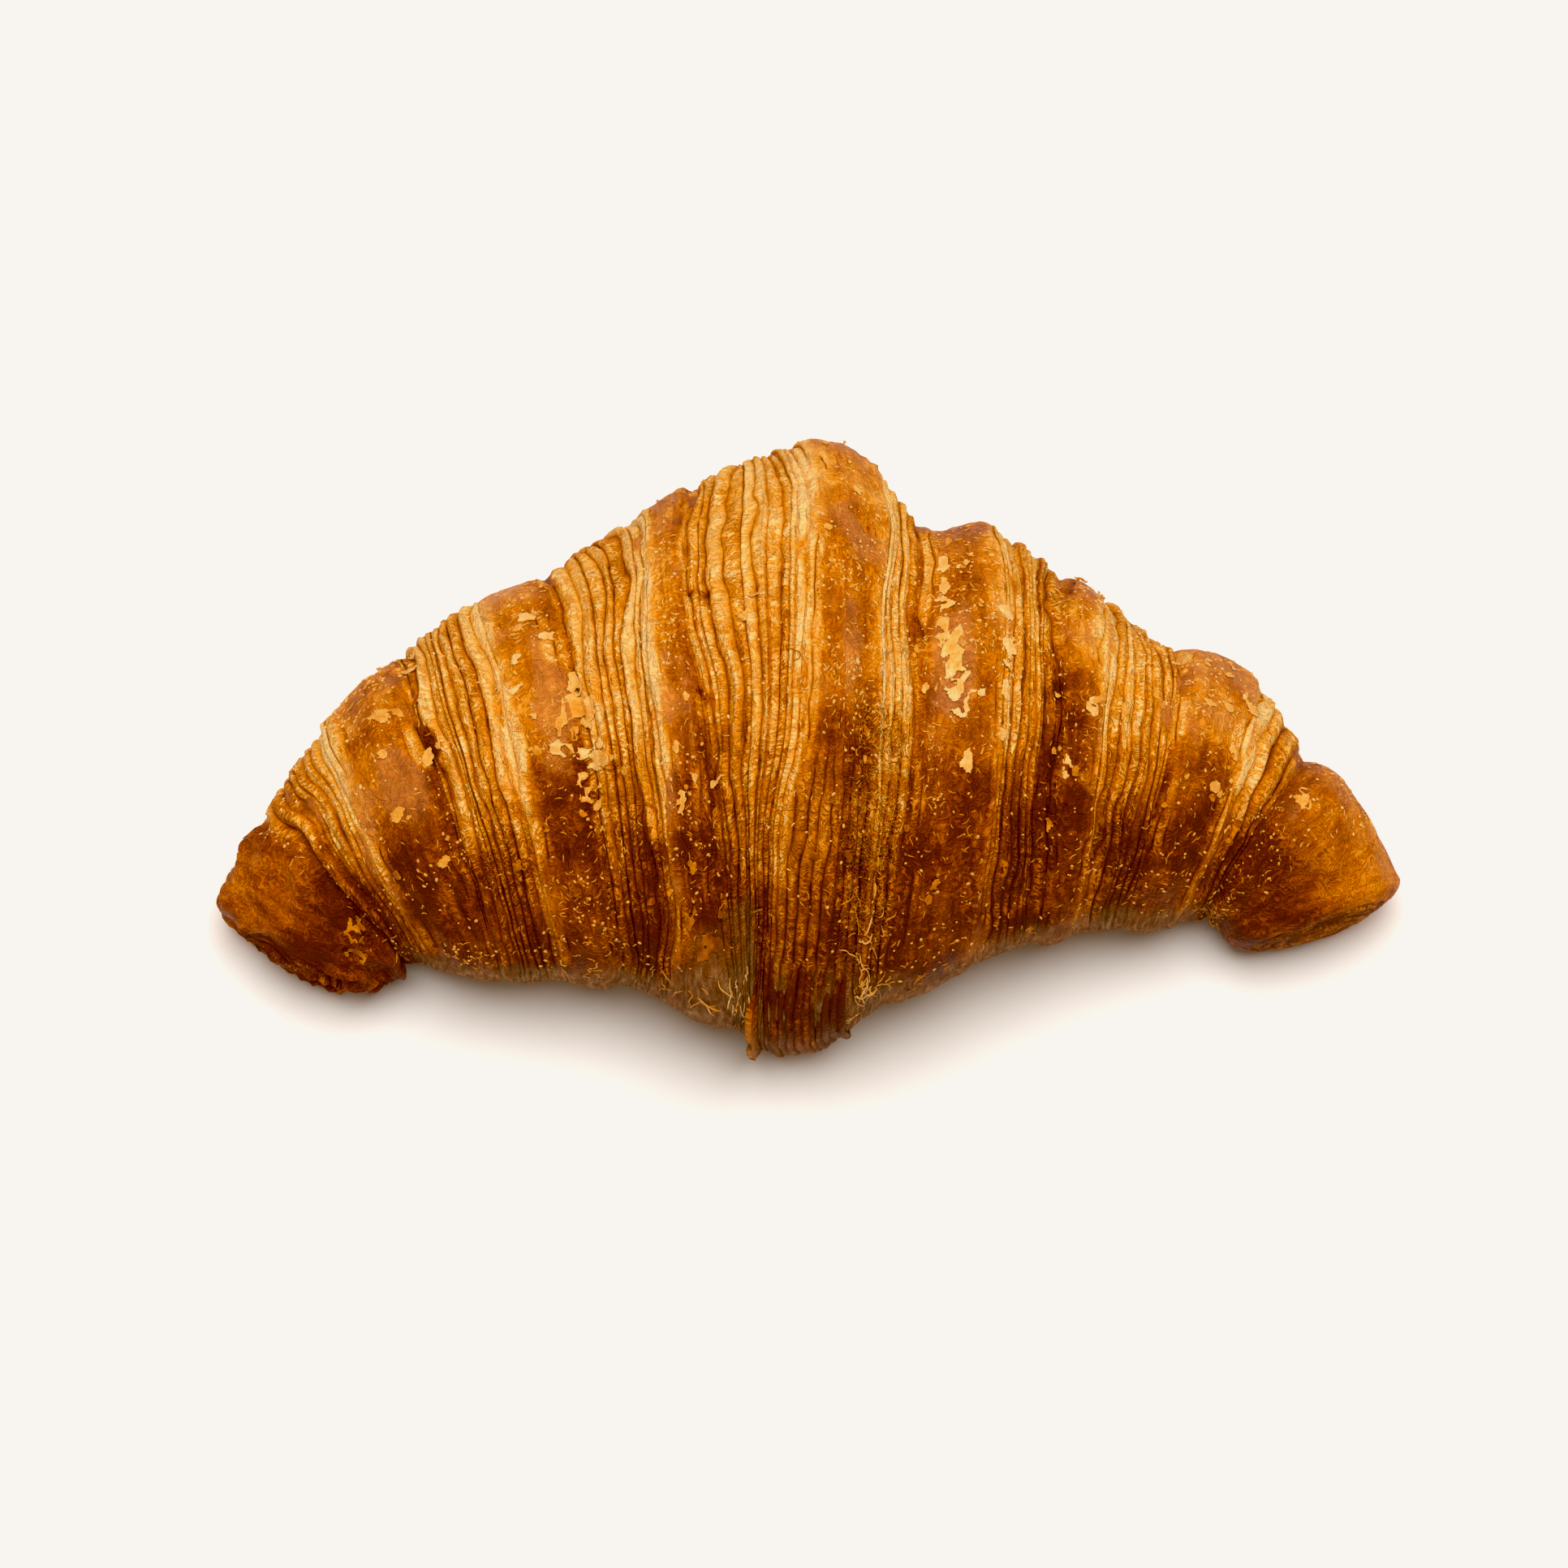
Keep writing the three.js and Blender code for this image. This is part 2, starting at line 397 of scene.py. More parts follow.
largeLumps, middlingLumps, smallLumps = folds["lumps"]
lumps = largeLumps * lumpNoise(14, 41) + middlingLumps * lumpNoise(6, 42)
lumps = lumps + smallLumps * lumpNoise(2.4, 43)
dimpled = smooth(1.5, 1.0, q)          # the left horn, all over
lumps = lumps + dimpled * (0.7 - folds["hornDimples"] * np.abs(lumpNoise(4.2, 44)))
relief = relief + lumps * np.where(onNose & (q > middleEdge), 0.6, 1)

# the middle of the front is torn and crinkled where the tip of the dough is pressed down
frizz = smooth(9.4, 9.8, q) * smooth(10.9, 10.5, q) * smooth(-3, 4, aroundMm)
frizz = frizz * wayRound(244, 228)
crinkle = np.abs(noiseAt(px / 1.7, py / 2.4, pz / 2.4, 51))
relief = relief + frizz * (folds["crinkles"] * crinkle - 0.25)

# cut ends of the horns show the rolled layers as rings
noseShare = np.broadcast_to(columnNose[:, None], q.shape)
ringLayer = noseShare * 11 + 0.8 * noiseAt(np.cos(angle) * 1.5, np.sin(angle) * 1.5, noseShare * 2, 61)
ringRidge = 1 - np.abs(2 * (ringLayer - np.floor(ringLayer)) - 1) ** 2
noseMask = smooth(0.40, 0.48, noseShare + 0.05 * lumpNoise(3, 62)) * smooth(1.0, 0.95, noseShare)
relief = relief + noseMask * (folds["endRings"] * ringRidge - 0.6)
layer = np.where(onNose, ringLayer, layer)

crustPoints = base + normals * relief[..., None]
crustPoints[..., 2] = np.maximum(crustPoints[..., 2], 0)

# centre of the footprint goes to the centre of the CAD part
low = crustPoints.reshape(-1, 3).min(axis=0)
high = crustPoints.reshape(-1, 3).max(axis=0)
centre = (low + high) / 2
cadCentre = (np.array(cadLow) + np.array(cadHigh)) / 2 / mm
toCentre = np.array([*(cadCentre - centre)[0:2], 0])
crustPoints = crustPoints + toCentre
crustNormals = gridNormals(crustPoints)
print(f"relief: {relief.min():.2f} to {relief.max():.2f} mm, size {(high - low).round(1).tolist()} mm")

# how dark each place is, 0 pale and 1 nearly burnt: mostly the bake, with painted shade in the crevices, the
# folds and the pits and a painted highlight on the lips; the glazed treads are the darkest
bakeAndShadeLevels = {
    "treadTop": 0.55,
    "treadFront": 0.35,       # added toward the foot of the front
    "riserTop": 0.31,
    "riserFront": 0.46,
    # the lip value paints the raised lips paler as a highlight; the next four paint shade into the crevices,
    # the folds behind the horns, the fold of the left horn and the pits
    "lip": -0.22,
    "crevice": 0.15,
    "behindHorn": 0.18,
    "leftFoldShade": 0.2,
    "pit": 0.5,
    "hornEnds": 0.74,
    "darkest": 0.92,
}
cloud = 0.10 * lumpNoise(16, 71) + 0.10 * lumpNoise(5, 72)
treadBake = bakeAndShadeLevels["treadTop"] + bakeAndShadeLevels["treadFront"] * wayRound(162, 210) + 0.13 * frizz
riserBake = bakeAndShadeLevels["riserTop"] + bakeAndShadeLevels["riserFront"] * wayRound(170, 222)
riserBake = riserBake + 0.08 * wayRound(190, 220) * smooth(9, 7, q) + 0.02 * smooth(10, 12, q)
besideFrizz = bell(q - 10.2, 0.8) * wayRound(190, 215)
riserBake = riserBake + 0.12 * besideFrizz + 0.09 * frizz
bakeAndShade = cloud + treadBake * (1 - riserMask) + riserBake * riserMask
bakeAndShade = bakeAndShade + 0.08 * smooth(1.6, 1.0, q)
bakeAndShade = bakeAndShade + 0.06 * smooth(lastEdge - 2, lastEdge - 1.4, q) * (pz < 14)
# painted light: the raised lips paler as a highlight, the crevices darker as shade
for edge in range(3, lastEdge - 2):
    if isLip(edge):
        bakeAndShade = bakeAndShade + bakeAndShadeLevels["lip"] * bell(fromPlace(edge), 1.5)
    else:
        bakeAndShade = bakeAndShade + bakeAndShadeLevels["crevice"] * bell(fromPlace(edge), 1.4) * frontFade
# painted shade in the folds behind the horns, in the fold of the left horn and in the pits
for edge in (1.5, lastEdge - 2):
    bakeAndShade = bakeAndShade + bakeAndShadeLevels["behindHorn"] * bell(fromPlace(edge), 2.0)
bakeAndShade = bakeAndShade + bakeAndShadeLevels["leftFoldShade"] * foldReach * bell(fromFold, 1.0) + bakeAndShadeLevels["pit"] * pitDepth
bakeAndShade = bakeAndShade * (1 - noseMask) + (bakeAndShadeLevels["hornEnds"] + cloud) * noseMask
bakeAndShade = np.minimum(bakeAndShade, bakeAndShadeLevels["darkest"] - 0.08 * wayRound(195, 225))
gloss = smooth(0.55, 0.88, heightShare) * (1 - noseMask)

# patches where a pinkish sheen is painted on the glaze: place, degrees, and how far they reach in edges and
# degrees
sheenSpots = [
    (5.7, 168, 0.35, 26), (9.5, 172, 0.2, 10), (11.4, 168, 0.28, 16), (17.1, 176, 0.22, 12),
    (3.6, 178, 0.3, 16),
]
paintedSheen = np.zeros(q.shape)
for spotPlace, spotDegrees, placeReach, degreeReach in sheenSpots:
    fromSpot = bell(q - spotPlace, placeReach) * bell(np.degrees(angle) - spotDegrees, degreeReach)
    paintedSheen = np.maximum(paintedSheen, smooth(0.35, 0.65, fromSpot + 0.25 * lumpNoise(3.5, 73)))

# the dull tan skin that never saw the glaze: under the widest line, higher beside the tongue
besideTongue = smooth(6.6, 7.6, place) * smooth(9.0, 8.6, place) * wayRound(180, 216)
onFront = wayRound(170, 190)
marginTop = 0.36 + 0.24 * onFront + 0.16 * besideTongue + 0.05 * lumpNoise(5, 81)
marginTop = marginTop + 0.10 * (1 - onFront) * noiseAt(px / 12, 0, pz / 9, 82)
margin = smooth(marginTop + 0.16 - 0.10 * onFront, marginTop - 0.16 + 0.08 * onFront, heightShare)
margin = margin * smooth(1.8, 3.0, q) * smooth(lastEdge - 1.8, lastEdge - 3, q)
margin = np.where(onNose & (q > middleEdge), 0.3 * noseMask, margin)


def makeObject(name, bm):
    mesh = bpy.data.meshes.new(name)
    bm.to_mesh(mesh)
    bm.free()
    made = bpy.data.objects.new(name, mesh)
    scene.collection.objects.link(made)
    return made


# a loose piece of the crust, with a thickness in mm where it is a sheet
def finishPiece(name, bm, thickness=None, offset=-1):
    for face in bm.faces:
        face.smooth = True
    piece = makeObject(name, bm)
    if thickness:
        solid = piece.modifiers.new("thickness", "SOLIDIFY")
        solid.thickness = thickness * mm
        solid.offset = offset
    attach(piece, "root")
    return piece


# a sheet from a grid of points in mm, with its own unwrapping in cm and values at its vertices
def gridMesh(points, uvPoints, channels):
    columns, rows = points.shape[:2]
    bm = bmesh.new()
    uv = bm.loops.layers.uv.new("rollUv")
    bmesh.ops.create_grid(bm, x_segments=columns - 1, y_segments=rows - 1, size=0.5, calc_uvs=True)
    layers = {key: bm.verts.layers.float.new(key) for key in channels}
    for vert in bm.verts:
        i = round((vert.co.x + 0.5) * (columns - 1))
        j = round((vert.co.y + 0.5) * (rows - 1))
        vert.co = points[i, j] * mm
        for key, values in channels.items():
            vert[layers[key]] = values[i, j]
    for face in bm.faces:
        face.smooth = True
        for loop in face.loops:
            across, up = loop[uv].uv
            loop[uv].uv = uvPoints[round(across * (columns - 1)), round(up * (rows - 1))]
    return bm


outwards = np.where(q == 0, -1, 1) * noseShare * 12.0
crustUv = np.stack([(alongRoll + outwards) / 10, aroundMm / 10], axis=-1)
cutEdges = np.where(onNose, noseMask, riserMask)
bm = gridMesh(crustPoints, crustUv, {
    "bakeAndShade": bakeAndShade,
    "riser": cutEdges,
    "layer": layer,
    "frizz": frizz,
    "margin": margin,
    "gloss": gloss,
    "paintedSheen": paintedSheen,
})
bmesh.ops.remove_doubles(bm, verts=bm.verts, dist=1e-7)
bmesh.ops.recalc_face_normals(bm, faces=bm.faces)
crust = makeObject("crust", bm)
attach(crust, "root")
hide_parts("croissant")
print(f"crust: {len(crust.data.vertices)} vertices, {len(crust.data.polygons)} faces")

bodyColumns = np.flatnonzero(columnNose == 0)
bodyAlong = alongRoll[bodyColumns, 0]
rowIndex = np.arange(roll["rows"] + 1)


# values of a grid at distances along the roll and round it from the crown, in mm
def onCrust(along, around, grid):
    along, around = np.broadcast_arrays(np.asarray(along, float), np.asarray(around, float))
    column = np.interp(along, bodyAlong, bodyColumns)
    i = np.clip(np.floor(column).astype(int), bodyColumns[0], bodyColumns[-1] - 1)
    row = np.empty(along.shape)
    for index in np.ndindex(along.shape):
        row[index] = np.interp(around[index], aroundMm[i[index]], rowIndex)
    j = np.clip(np.floor(row).astype(int), 0, roll["rows"] - 1)
    u, v = column - i, row - j
    if grid.ndim == 3:
        u, v = u[..., None], v[..., None]
    low = grid[i, j] * (1 - u) + grid[i + 1, j] * u
    high = grid[i, j + 1] * (1 - u) + grid[i + 1, j + 1] * u
    return low * (1 - v) + high * v


# distances along and round for a place that counts edges and an angle in degrees
def crustSpot(place, degrees):
    along = float(np.interp(place, edgeIndex, edgeDistances))
    row = np.interp(math.radians(degrees), rowAngle, rowIndex)
    column = int(round(np.interp(along, bodyAlong, bodyColumns)))
    return along, float(np.interp(row, rowIndex, aroundMm[column]))


# a flat piece, du across and dv down, turned and laid down round a spot
def laidRound(spot, du, dv, turn):
    along = spot[0] + du * math.cos(turn) + dv * math.sin(turn)
    around = spot[1] - du * math.sin(turn) + dv * math.cos(turn)
    return along, around


# the crust without its finest ridges, which loose films bridge
def softened(values, reach):
    total = np.zeros(values.shape)
    for step in range(-reach, reach + 1):
        total = total + np.roll(values, step, axis=0)
    return total / (2 * reach + 1)


softRelief = np.where(onNose, relief, softened(relief, 5))
skinPoints = base + toCentre + normals * (0.55 * softRelief + 0.45 * relief)[..., None]

# the tip of the dough hangs down the front as a ridged tongue
tongue = {
    "places": (8.80, 9.94),      # its sides on the roll
    "startDegrees": 212.0,       # where it leaves the crust
    "endDegrees": 274.0,         # where it starts to hang free
    "stand": 0.15,               # mm proud of the crust
    "tuck": 4.6,                 # mm that its foot turns back under
    "narrowing": 0.10,           # share by which the foot is narrower
    "ridges": 13,
    "grooves": 0.24,             # mm deep
    "thickness": 0.9,
    "edgeCurl": 1.7,             # mm that its left edge curls up
    "bakeAndShade": 0.74,
    "size": (15.0, 30.0),        # mm, for its unwrapping
    "columns": 90,
    "rows": 60,
}


def makeTongue():
    u = np.linspace(0, 1, tongue["columns"])[:, None]
    v = np.linspace(0, 1, tongue["rows"])[None, :]
    u, v = np.broadcast_arrays(u, v)
    down = 1 - v                                       # 0 where it leaves the crust, 1 at the foot
    start, end = tongue["places"]
    wander = 0.06 * noiseAt(down * 5, u * 0, 0.3, 91)
    place = start + (end - start) * u + wander
    onRoll = np.minimum(down / 0.75, 1)
    hanging = np.clip((down - 0.75) / 0.25, 0, 1)
    angle = np.radians(tongue["startDegrees"] + (tongue["endDegrees"] - tongue["startDegrees"]) * onRoll)
    points = rollPoint(place, angle) + toCentre
    row = readEdges(place)
    forward = np.stack([row[..., 2] - row[..., 0], row[..., 3] - row[..., 1], row[..., 0] * 0], axis=-1)
    forward = forward / np.linalg.norm(forward, axis=-1, keepdims=True)
    ragged = 1.3 * noiseAt(u * 9, 0, 0.5, 92) + 0.6 * noiseAt(u * 25, 0, 0.5, 93)
    footHeight = 1.6 + ragged + 8.0 * smooth(0.72, 1.0, u)
    footHeight = footHeight + 1.5 * smooth(0.3, 0.12, u) * smooth(0, 0.08, u)
    footHeight = np.maximum(footHeight, 0.3)
    hangTop = points[..., 2].copy()
    points[..., 2] = hangTop + (footHeight - hangTop) * hanging
    layer = u * tongue["ridges"] + 1.1 * noiseAt(down * 1.5, u * 5, 0.2, 94)
    layer = layer + 0.15 * noiseAt(down * 16, u * 9, 0.2, 95)
    within = layer - np.floor(layer)
    ridge = 1 - np.abs(2 * within - 1) ** 2.2
    stand = -0.7 + (tongue["stand"] + 0.7) * smooth(0.0, 0.45, down) - tongue["tuck"] * hanging ** 1.6
    lift = tongue["grooves"] * (ridge - 0.5) + 0.3 * noiseAt(np.floor(layer) * 3.3, down * 4, 0.1, 96)
    lift = lift + 0.6 * noiseAt(u * 4, down * 4, 0.8, 97)
    edgeCurl = bell(u, 0.05) * smooth(0.32, 0.5, down)
    tornSide = bell(u - 1, 0.06) * smooth(0.2, 0.5, down)
    lift = lift + tongue["edgeCurl"] * edgeCurl + 0.6 * tornSide
    points = points + forward * (stand + lift)[..., None]
    points[..., 0] = points[..., 0] * (1 - tongue["narrowing"] * hanging) - 0.6 * edgeCurl
    foot = bell(u - 0.03, 0.06) * smooth(0.93, 1.0, down)
    points = points + foot[..., None] * np.array([-1.0, -0.4, -0.2])
    points[..., 2] = np.maximum(points[..., 2], 0.2)
    level = tongue["bakeAndShade"] + 0.20 * smooth(0.1, 0.45, down)
    level = level + 0.2 * noiseAt(u * 9, down * 1.6, 0.4, 98)
    # the curled left edge is painted paler, a highlight where it catches the light
    level = level - 0.34 * edgeCurl - 0.1 * tornSide + 0.08 * smooth(0.75, 0.95, u)
    zero = np.zeros(u.shape)
    channels = {
        "bakeAndShade": level,
        "riser": 0.6 + zero,
        "layer": layer + 300,
        "frizz": zero,
        "margin": 0.7 * smooth(0.52, 0.70, down + 0.08 * noiseAt(u * 12, down * 9, 0.1, 99)),
        "gloss": 0.5 * smooth(0.8, 0.5, down),
        "paintedSheen": zero,
    }
    width, length = tongue["size"]
    uvPoints = np.stack([u * width / 10 + 30, down * length / 10], axis=-1)   # clear of the crust's
    return finishPiece("tongue", gridMesh(points, uvPoints, channels), tongue["thickness"])


tongueSheet = makeTongue()
print(f"tongue: {len(tongueSheet.data.polygons)} faces")

# thin dry films of glaze: place, degrees, width and length in mm, turn in degrees, bake
films = {
    "thickness": 0.13,
    "height": 0.22,          # mm over the crust
    "cell": 0.24,            # mm, the squares it is torn from
    "placed": [
        (11.22, 137, 2.2, 3.6, 0, 0.10), (11.26, 146, 1.5, 4.0, 4, 0.12), (11.28, 152, 2.8, 2.6, 20, 0.08),
        (11.30, 160, 1.6, 5.0, -4, 0.12), (11.40, 166, 1.7, 5.5, -14, 0.10), (11.45, 171, 2.2, 4.6, 0, 0.08),
        (11.48, 176, 3.3, 4.6, 8, 0.06), (11.55, 180, 2.6, 3.2, 20, 0.08), (11.60, 139, 3.6, 1.1, 10, 0.10),
        (11.28, 190, 1.3, 1.5, 0, 0.08), (12.02, 158, 1.6, 4.8, 4, 0.10), (12.05, 168, 2.0, 5.0, -6, 0.08),
        (12.02, 176, 1.8, 3.8, 8, 0.10), (11.72, 178, 1.0, 1.1, 0, 0.08), (11.62, 192, 1.7, 3.4, 6, 0.14),
        (5.62, 141, 2.2, 1.5, 30, 0.08), (5.82, 150, 2.2, 1.4, -10, 0.08), (5.35, 157, 1.4, 2.2, 12, 0.08),
        (5.30, 166, 2.2, 1.6, 0, 0.08), (6.02, 168, 1.5, 4.4, 10, 0.16), (6.10, 176, 1.2, 6.4, -8, 0.14),
        (5.85, 174, 3.4, 6.0, -12, 0.24), (6.12, 187, 3.4, 3.0, 8, 0.16), (5.75, 183, 2.6, 3.0, 30, 0.12),
        (3.75, 152, 3.0, 3.2, 25, 0.30), (7.50, 214, 2.4, 3.4, 0, 0.46), (12.0, 187, 1.4, 3.6, 0, 0.14),
        (5.98, 184, 3.2, 1.6, 14, 0.06), (6.18, 183, 1.5, 1.5, 0, 0.06), (5.90, 195, 1.5, 4.2, 4, 0.24),
        (6.05, 198, 1.2, 4.6, -6, 0.24), (6.10, 203, 2.2, 2.6, 0, 0.22), (5.40, 174, 2.0, 2.6, 40, 0.14),
        (7.45, 200, 2.6, 3.8, 0, 0.14), (7.80, 194, 2.2, 1.5, 20, 0.12), (8.12, 196, 2.2, 1.8, 0, 0.12),
        (7.30, 188, 1.2, 2.0, 0, 0.14), (3.95, 173, 1.4, 3.2, -30, 0.14), (4.05, 132, 2.6, 1.6, 10, 0.14),
        (3.60, 150, 2.0, 2.6, 30, 0.20), (3.40, 186, 3.2, 1.2, 40, 0.24), (3.70, 205, 2.2, 1.2, 0, 0.24),
        (14.9, 131, 2.0, 1.5, 0, 0.12), (15.5, 137, 2.6, 1.1, 30, 0.10), (15.9, 146, 1.8, 3.2, 0, 0.12),
        (15.6, 154, 1.4, 2.0, 0, 0.14), (15.8, 172, 1.3, 2.4, 10, 0.16), (15.7, 188, 1.8, 1.8, 0, 0.20),
        (17.25, 160, 1.8, 3.4, 24, 0.20), (13.7, 176, 1.2, 3.0, 0, 0.12), (13.3, 193, 1.2, 2.6, 0, 0.16),
        (7.60, 236, 5.6, 3.6, 0, 0.66), (7.30, 228, 3.0, 2.6, 10, 0.58), (0.55, 216, 5.5, 3.6, 20, 0.52),
        (0.80, 208, 3.0, 3.0, 0, 0.48), (4.70, 214, 2.2, 3.2, 10, 0.52), (11.3, 222, 2.0, 4.0, 0, 0.50),
        (9.60, 150, 1.4, 1.1, 0, 0.10), (13.0, 214, 1.6, 3.6, 0, 0.46), (16.2, 205, 1.6, 2.2, 0, 0.30),
    ],
    "scattered": 150,
    "scatterSize": (0.5, 1.1),
    "scatterPlaces": [
        3.0, 4.0, 5.3, 6.0, 7.2, 7.8, 9.3, 10.0, 11.1, 11.9, 12.0, 13.2, 14.0, 15.3, 16.0,
    ],
}


# a ragged film over the crust: a fine grid from which the squares outside its outline are torn
def layFilm(bm, darknessLayer, spot, width, length, turnDegrees, darkness, seed):
    spare = 1.7                                    # how much wider than the film the grid is
    columns = max(6, round(width * spare / films["cell"]))
    rows = max(6, round(length * spare / films["cell"]))
    made = bmesh.ops.create_grid(bm, x_segments=columns, y_segments=rows, size=0.5)["verts"]
    flat = np.array([vert.co[:2] for vert in made]) * 2 * spare
    du, dv = flat[:, 0] * width / 2, flat[:, 1] * length / 2
    solidness = 0.55 - flat[:, 0] ** 2 - flat[:, 1] ** 2
    solidness = solidness + 1.7 * noiseAt(du / 1.0, dv / 1.5, seed * 0.37, 101)
    solidness = solidness + 1.4 * noiseAt(du / 0.55, dv / 0.65, seed * 0.53, 102)
    for vert, across, down, value in zip(made, du, dv, solidness):
        vert.co = (across, down, 0)
        vert[darknessLayer] = value
    faces = dict.fromkeys(face for vert in made for face in vert.link_faces)
    torn = [face for face in faces if sum(vert[darknessLayer] for vert in face.verts) < 0]
    bmesh.ops.delete(bm, geom=torn, context="FACES")
    kept = [vert for vert in made if vert.is_valid]
    if not kept:
        return
    rim = [vert for vert in kept if vert.is_boundary]
    for _ in range(2):
        bmesh.ops.smooth_vert(bm, verts=rim, factor=0.5, use_axis_x=True, use_axis_y=True)
    du = np.array([vert.co.x for vert in kept])
    dv = np.array([vert.co.y for vert in kept])
    along, around = laidRound(spot, du, dv, math.radians(turnDegrees))
    points = onCrust(along, around, skinPoints)
    outward = onCrust(along, around, normals)
    curl = 0.45 * np.maximum(noiseAt(du / 2.2, dv / 2.2, seed * 0.91, 104), 0)
    solidness = np.array([vert[darknessLayer] for vert in kept])
    height = films["height"] + curl * smooth(0.6, 0.0, solidness)
    points = points + outward * height[:, None]
    points[:, 2] = np.maximum(points[:, 2], 0.2)
    levels = darkness + 0.05 + 0.14 * noiseAt(du / 0.9, dv / 0.9, seed * 0.17, 105)
    levels = levels - 0.05 * smooth(0.4, 0.0, solidness)
    for vert, point, level in zip(kept, points, levels):
        vert.co = point * mm
        vert[darknessLayer] = max(level, 0.0)


def makeFilms():
    bm = bmesh.new()
    darknessLayer = bm.verts.layers.float.new("bakeAndShade")
    draw = random.Random(12)
    for index, (place, degrees, width, length, turn, level) in enumerate(films["placed"]):
        layFilm(bm, darknessLayer, crustSpot(place, degrees), width, length, turn, level, index + 1)
    smallest, largest = films["scatterSize"]
    for index in range(films["scattered"]):
        place = draw.choice(films["scatterPlaces"]) + draw.gauss(0, 0.35)
        degrees = draw.gauss(172, 30)
        width = draw.uniform(smallest, largest)
        length = width * draw.uniform(0.8, 1.9)
        level = 0.14 + 0.16 * draw.random() + 0.55 * smooth(175, 225, degrees)
        turn = draw.uniform(-40, 40)
        layFilm(bm, darknessLayer, crustSpot(place, degrees), width, length, turn, level, 100 + index)
    bmesh.ops.recalc_face_normals(bm, faces=bm.faces)
    return finishPiece("glaze_films", bm, films["thickness"])


glazeFilms = makeFilms()
print(f"films: {len(films['placed'])} placed, {films['scattered']} scattered")

# raised specks of dried glaze and short squiggles, and the fibres of the torn middle
crumbs = {
    "specks": 1500,
    "squiggles": 1150,
    "fibres": 420,
    "speckSize": (0.12, 0.26),       # mm, half across
    "squiggleLength": (0.35, 0.8),   # mm, half
    "fibreLength": (0.35, 0.85),
}


# one closed bead pressed on the crust, stretched along its heading and a little bent
def addBead(bm, darknessLayer, point, outward, heading, size, bend, darkness):
    n = outward / np.linalg.norm(outward)
    side = np.cross(n, [math.cos(heading), math.sin(heading), 0.3])
    side = side / np.linalg.norm(side)
    ahead = np.cross(side, n)
    matrix = Matrix((
        (ahead[0] * size[0], side[0] * size[1], n[0] * size[2], point[0]),
        (ahead[1] * size[0], side[1] * size[1], n[1] * size[2], point[1]),
        (ahead[2] * size[0], side[2] * size[1], n[2] * size[2], point[2]),
        (0, 0, 0, 1),
    ))
    made = bmesh.ops.create_icosphere(bm, subdivisions=1, radius=1, matrix=matrix)
    sideways = Vector(side)
    centre = Vector(point)
    for vert in made["verts"]:
        reach = (vert.co - centre).dot(Vector(ahead)) / size[0]
        vert.co = (vert.co + sideways * (bend * reach * reach)) * mm
        vert[darknessLayer] = darkness


def makeCrumbs(name, count, seed, pick, shape):
    bm = bmesh.new()
    darknessLayer = bm.verts.layers.float.new("bakeAndShade")
    draw = np.random.default_rng(seed)
    made = 0
    while made < count:
        alongs = draw.uniform(6, edgeDistances[-1] - 4, count)
        arounds = draw.uniform(-48, 48, count)
        chosen = draw.random(count) < pick(alongs, arounds)
        alongs, arounds = alongs[chosen], arounds[chosen]
        points = onCrust(alongs, arounds, crustPoints)
        outwards = onCrust(alongs, arounds, crustNormals)
        levels = onCrust(alongs, arounds, bakeAndShade)
        for point, outward, level in zip(points, outwards, levels):
            if point[2] > 3 and made < count:
                addBead(bm, darknessLayer, point + outward * 0.02, outward, *shape(draw, level))
                made += 1
    print(f"{name}: {made} beads")
    return finishPiece(name, bm)


# fewer of them low on the back
clearOfRim = np.where(angle < math.pi, 0.12 + 0.88 * smooth(0.55, 0.75, heightShare), 1.0)


# share of tries that leave a speck: thick in patches on the treads, thin on the cut ridges
def speckShare(along, around):
    patches = smooth(0.0, 0.5, noiseAt(along / 7, around / 9, 0.4, 111))
    tread = 1 - 0.75 * onCrust(along, around, riserMask)
    onTop = smooth(30, 60, around + 75) * onCrust(along, around, clearOfRim)
    return (0.3 + 0.7 * patches) * tread * onTop * (1 - onCrust(along, around, margin))


def speckShape(draw, level):
    low, high = crumbs["speckSize"]
    size = low + (high - low) * draw.random() ** 2
    long = size * draw.uniform(1.0, 1.7)
    darkness = 0.02 + 0.55 * max(level - 0.4, 0)
    return draw.uniform(0, math.pi), (long, size, size * 0.7), 0.0, darkness


def squiggleShape(draw, level):
    low, high = crumbs["squiggleLength"]
    long = draw.uniform(low, high)
    heading = draw.uniform(0, math.pi)
    bend = draw.uniform(-0.7, 0.7) * long
    return heading, (long, 0.10, 0.10), bend, 0.10 + 0.85 * max(level - 0.45, 0)


def fibreShare(along, around):
    return onCrust(along, around, frizz)


def fibreShape(draw, level):
    low, high = crumbs["fibreLength"]
    long = draw.uniform(low, high)
    heading = draw.choice([draw.normal(0, 0.5), draw.uniform(0, math.pi)])
    darkness = 0.40 + 0.9 * max(level - 0.45, 0) + draw.uniform(-0.12, 0.12)
    return heading, (long, 0.075, 0.1), draw.uniform(-0.9, 0.9) * long, darkness


# loose strands torn from the sheets; a bunch has its middle place and degrees, the spread of
# both, how many, lengths in mm and bake
strands = {
    "width": 0.10,
    "thickness": 0.09,
    "steps": 12,
    "bunches": [
        (10.12, 250, 0.22, 9, 24, (2.0, 6.0), 0.24),      # the web to the right of the tongue
        (10.25, 226, 0.25, 8, 10, (1.5, 3.5), 0.44),
        (8.25, 254, 0.22, 7, 14, (2.0, 5.0), 0.10),       # beside its left edge
        (7.4, 258, 0.6, 4, 14, (1.5, 4.0), 0.38),         # along the tan foot of the front
        (5.2, 256, 0.9, 4, 8, (1.0, 2.5), 0.40),
        (11.4, 256, 0.9, 4, 10, (1.5, 3.5), 0.46),
        (9.2, 205, 0.7, 14, 12, (1.0, 2.5), 0.58),
    ],
}


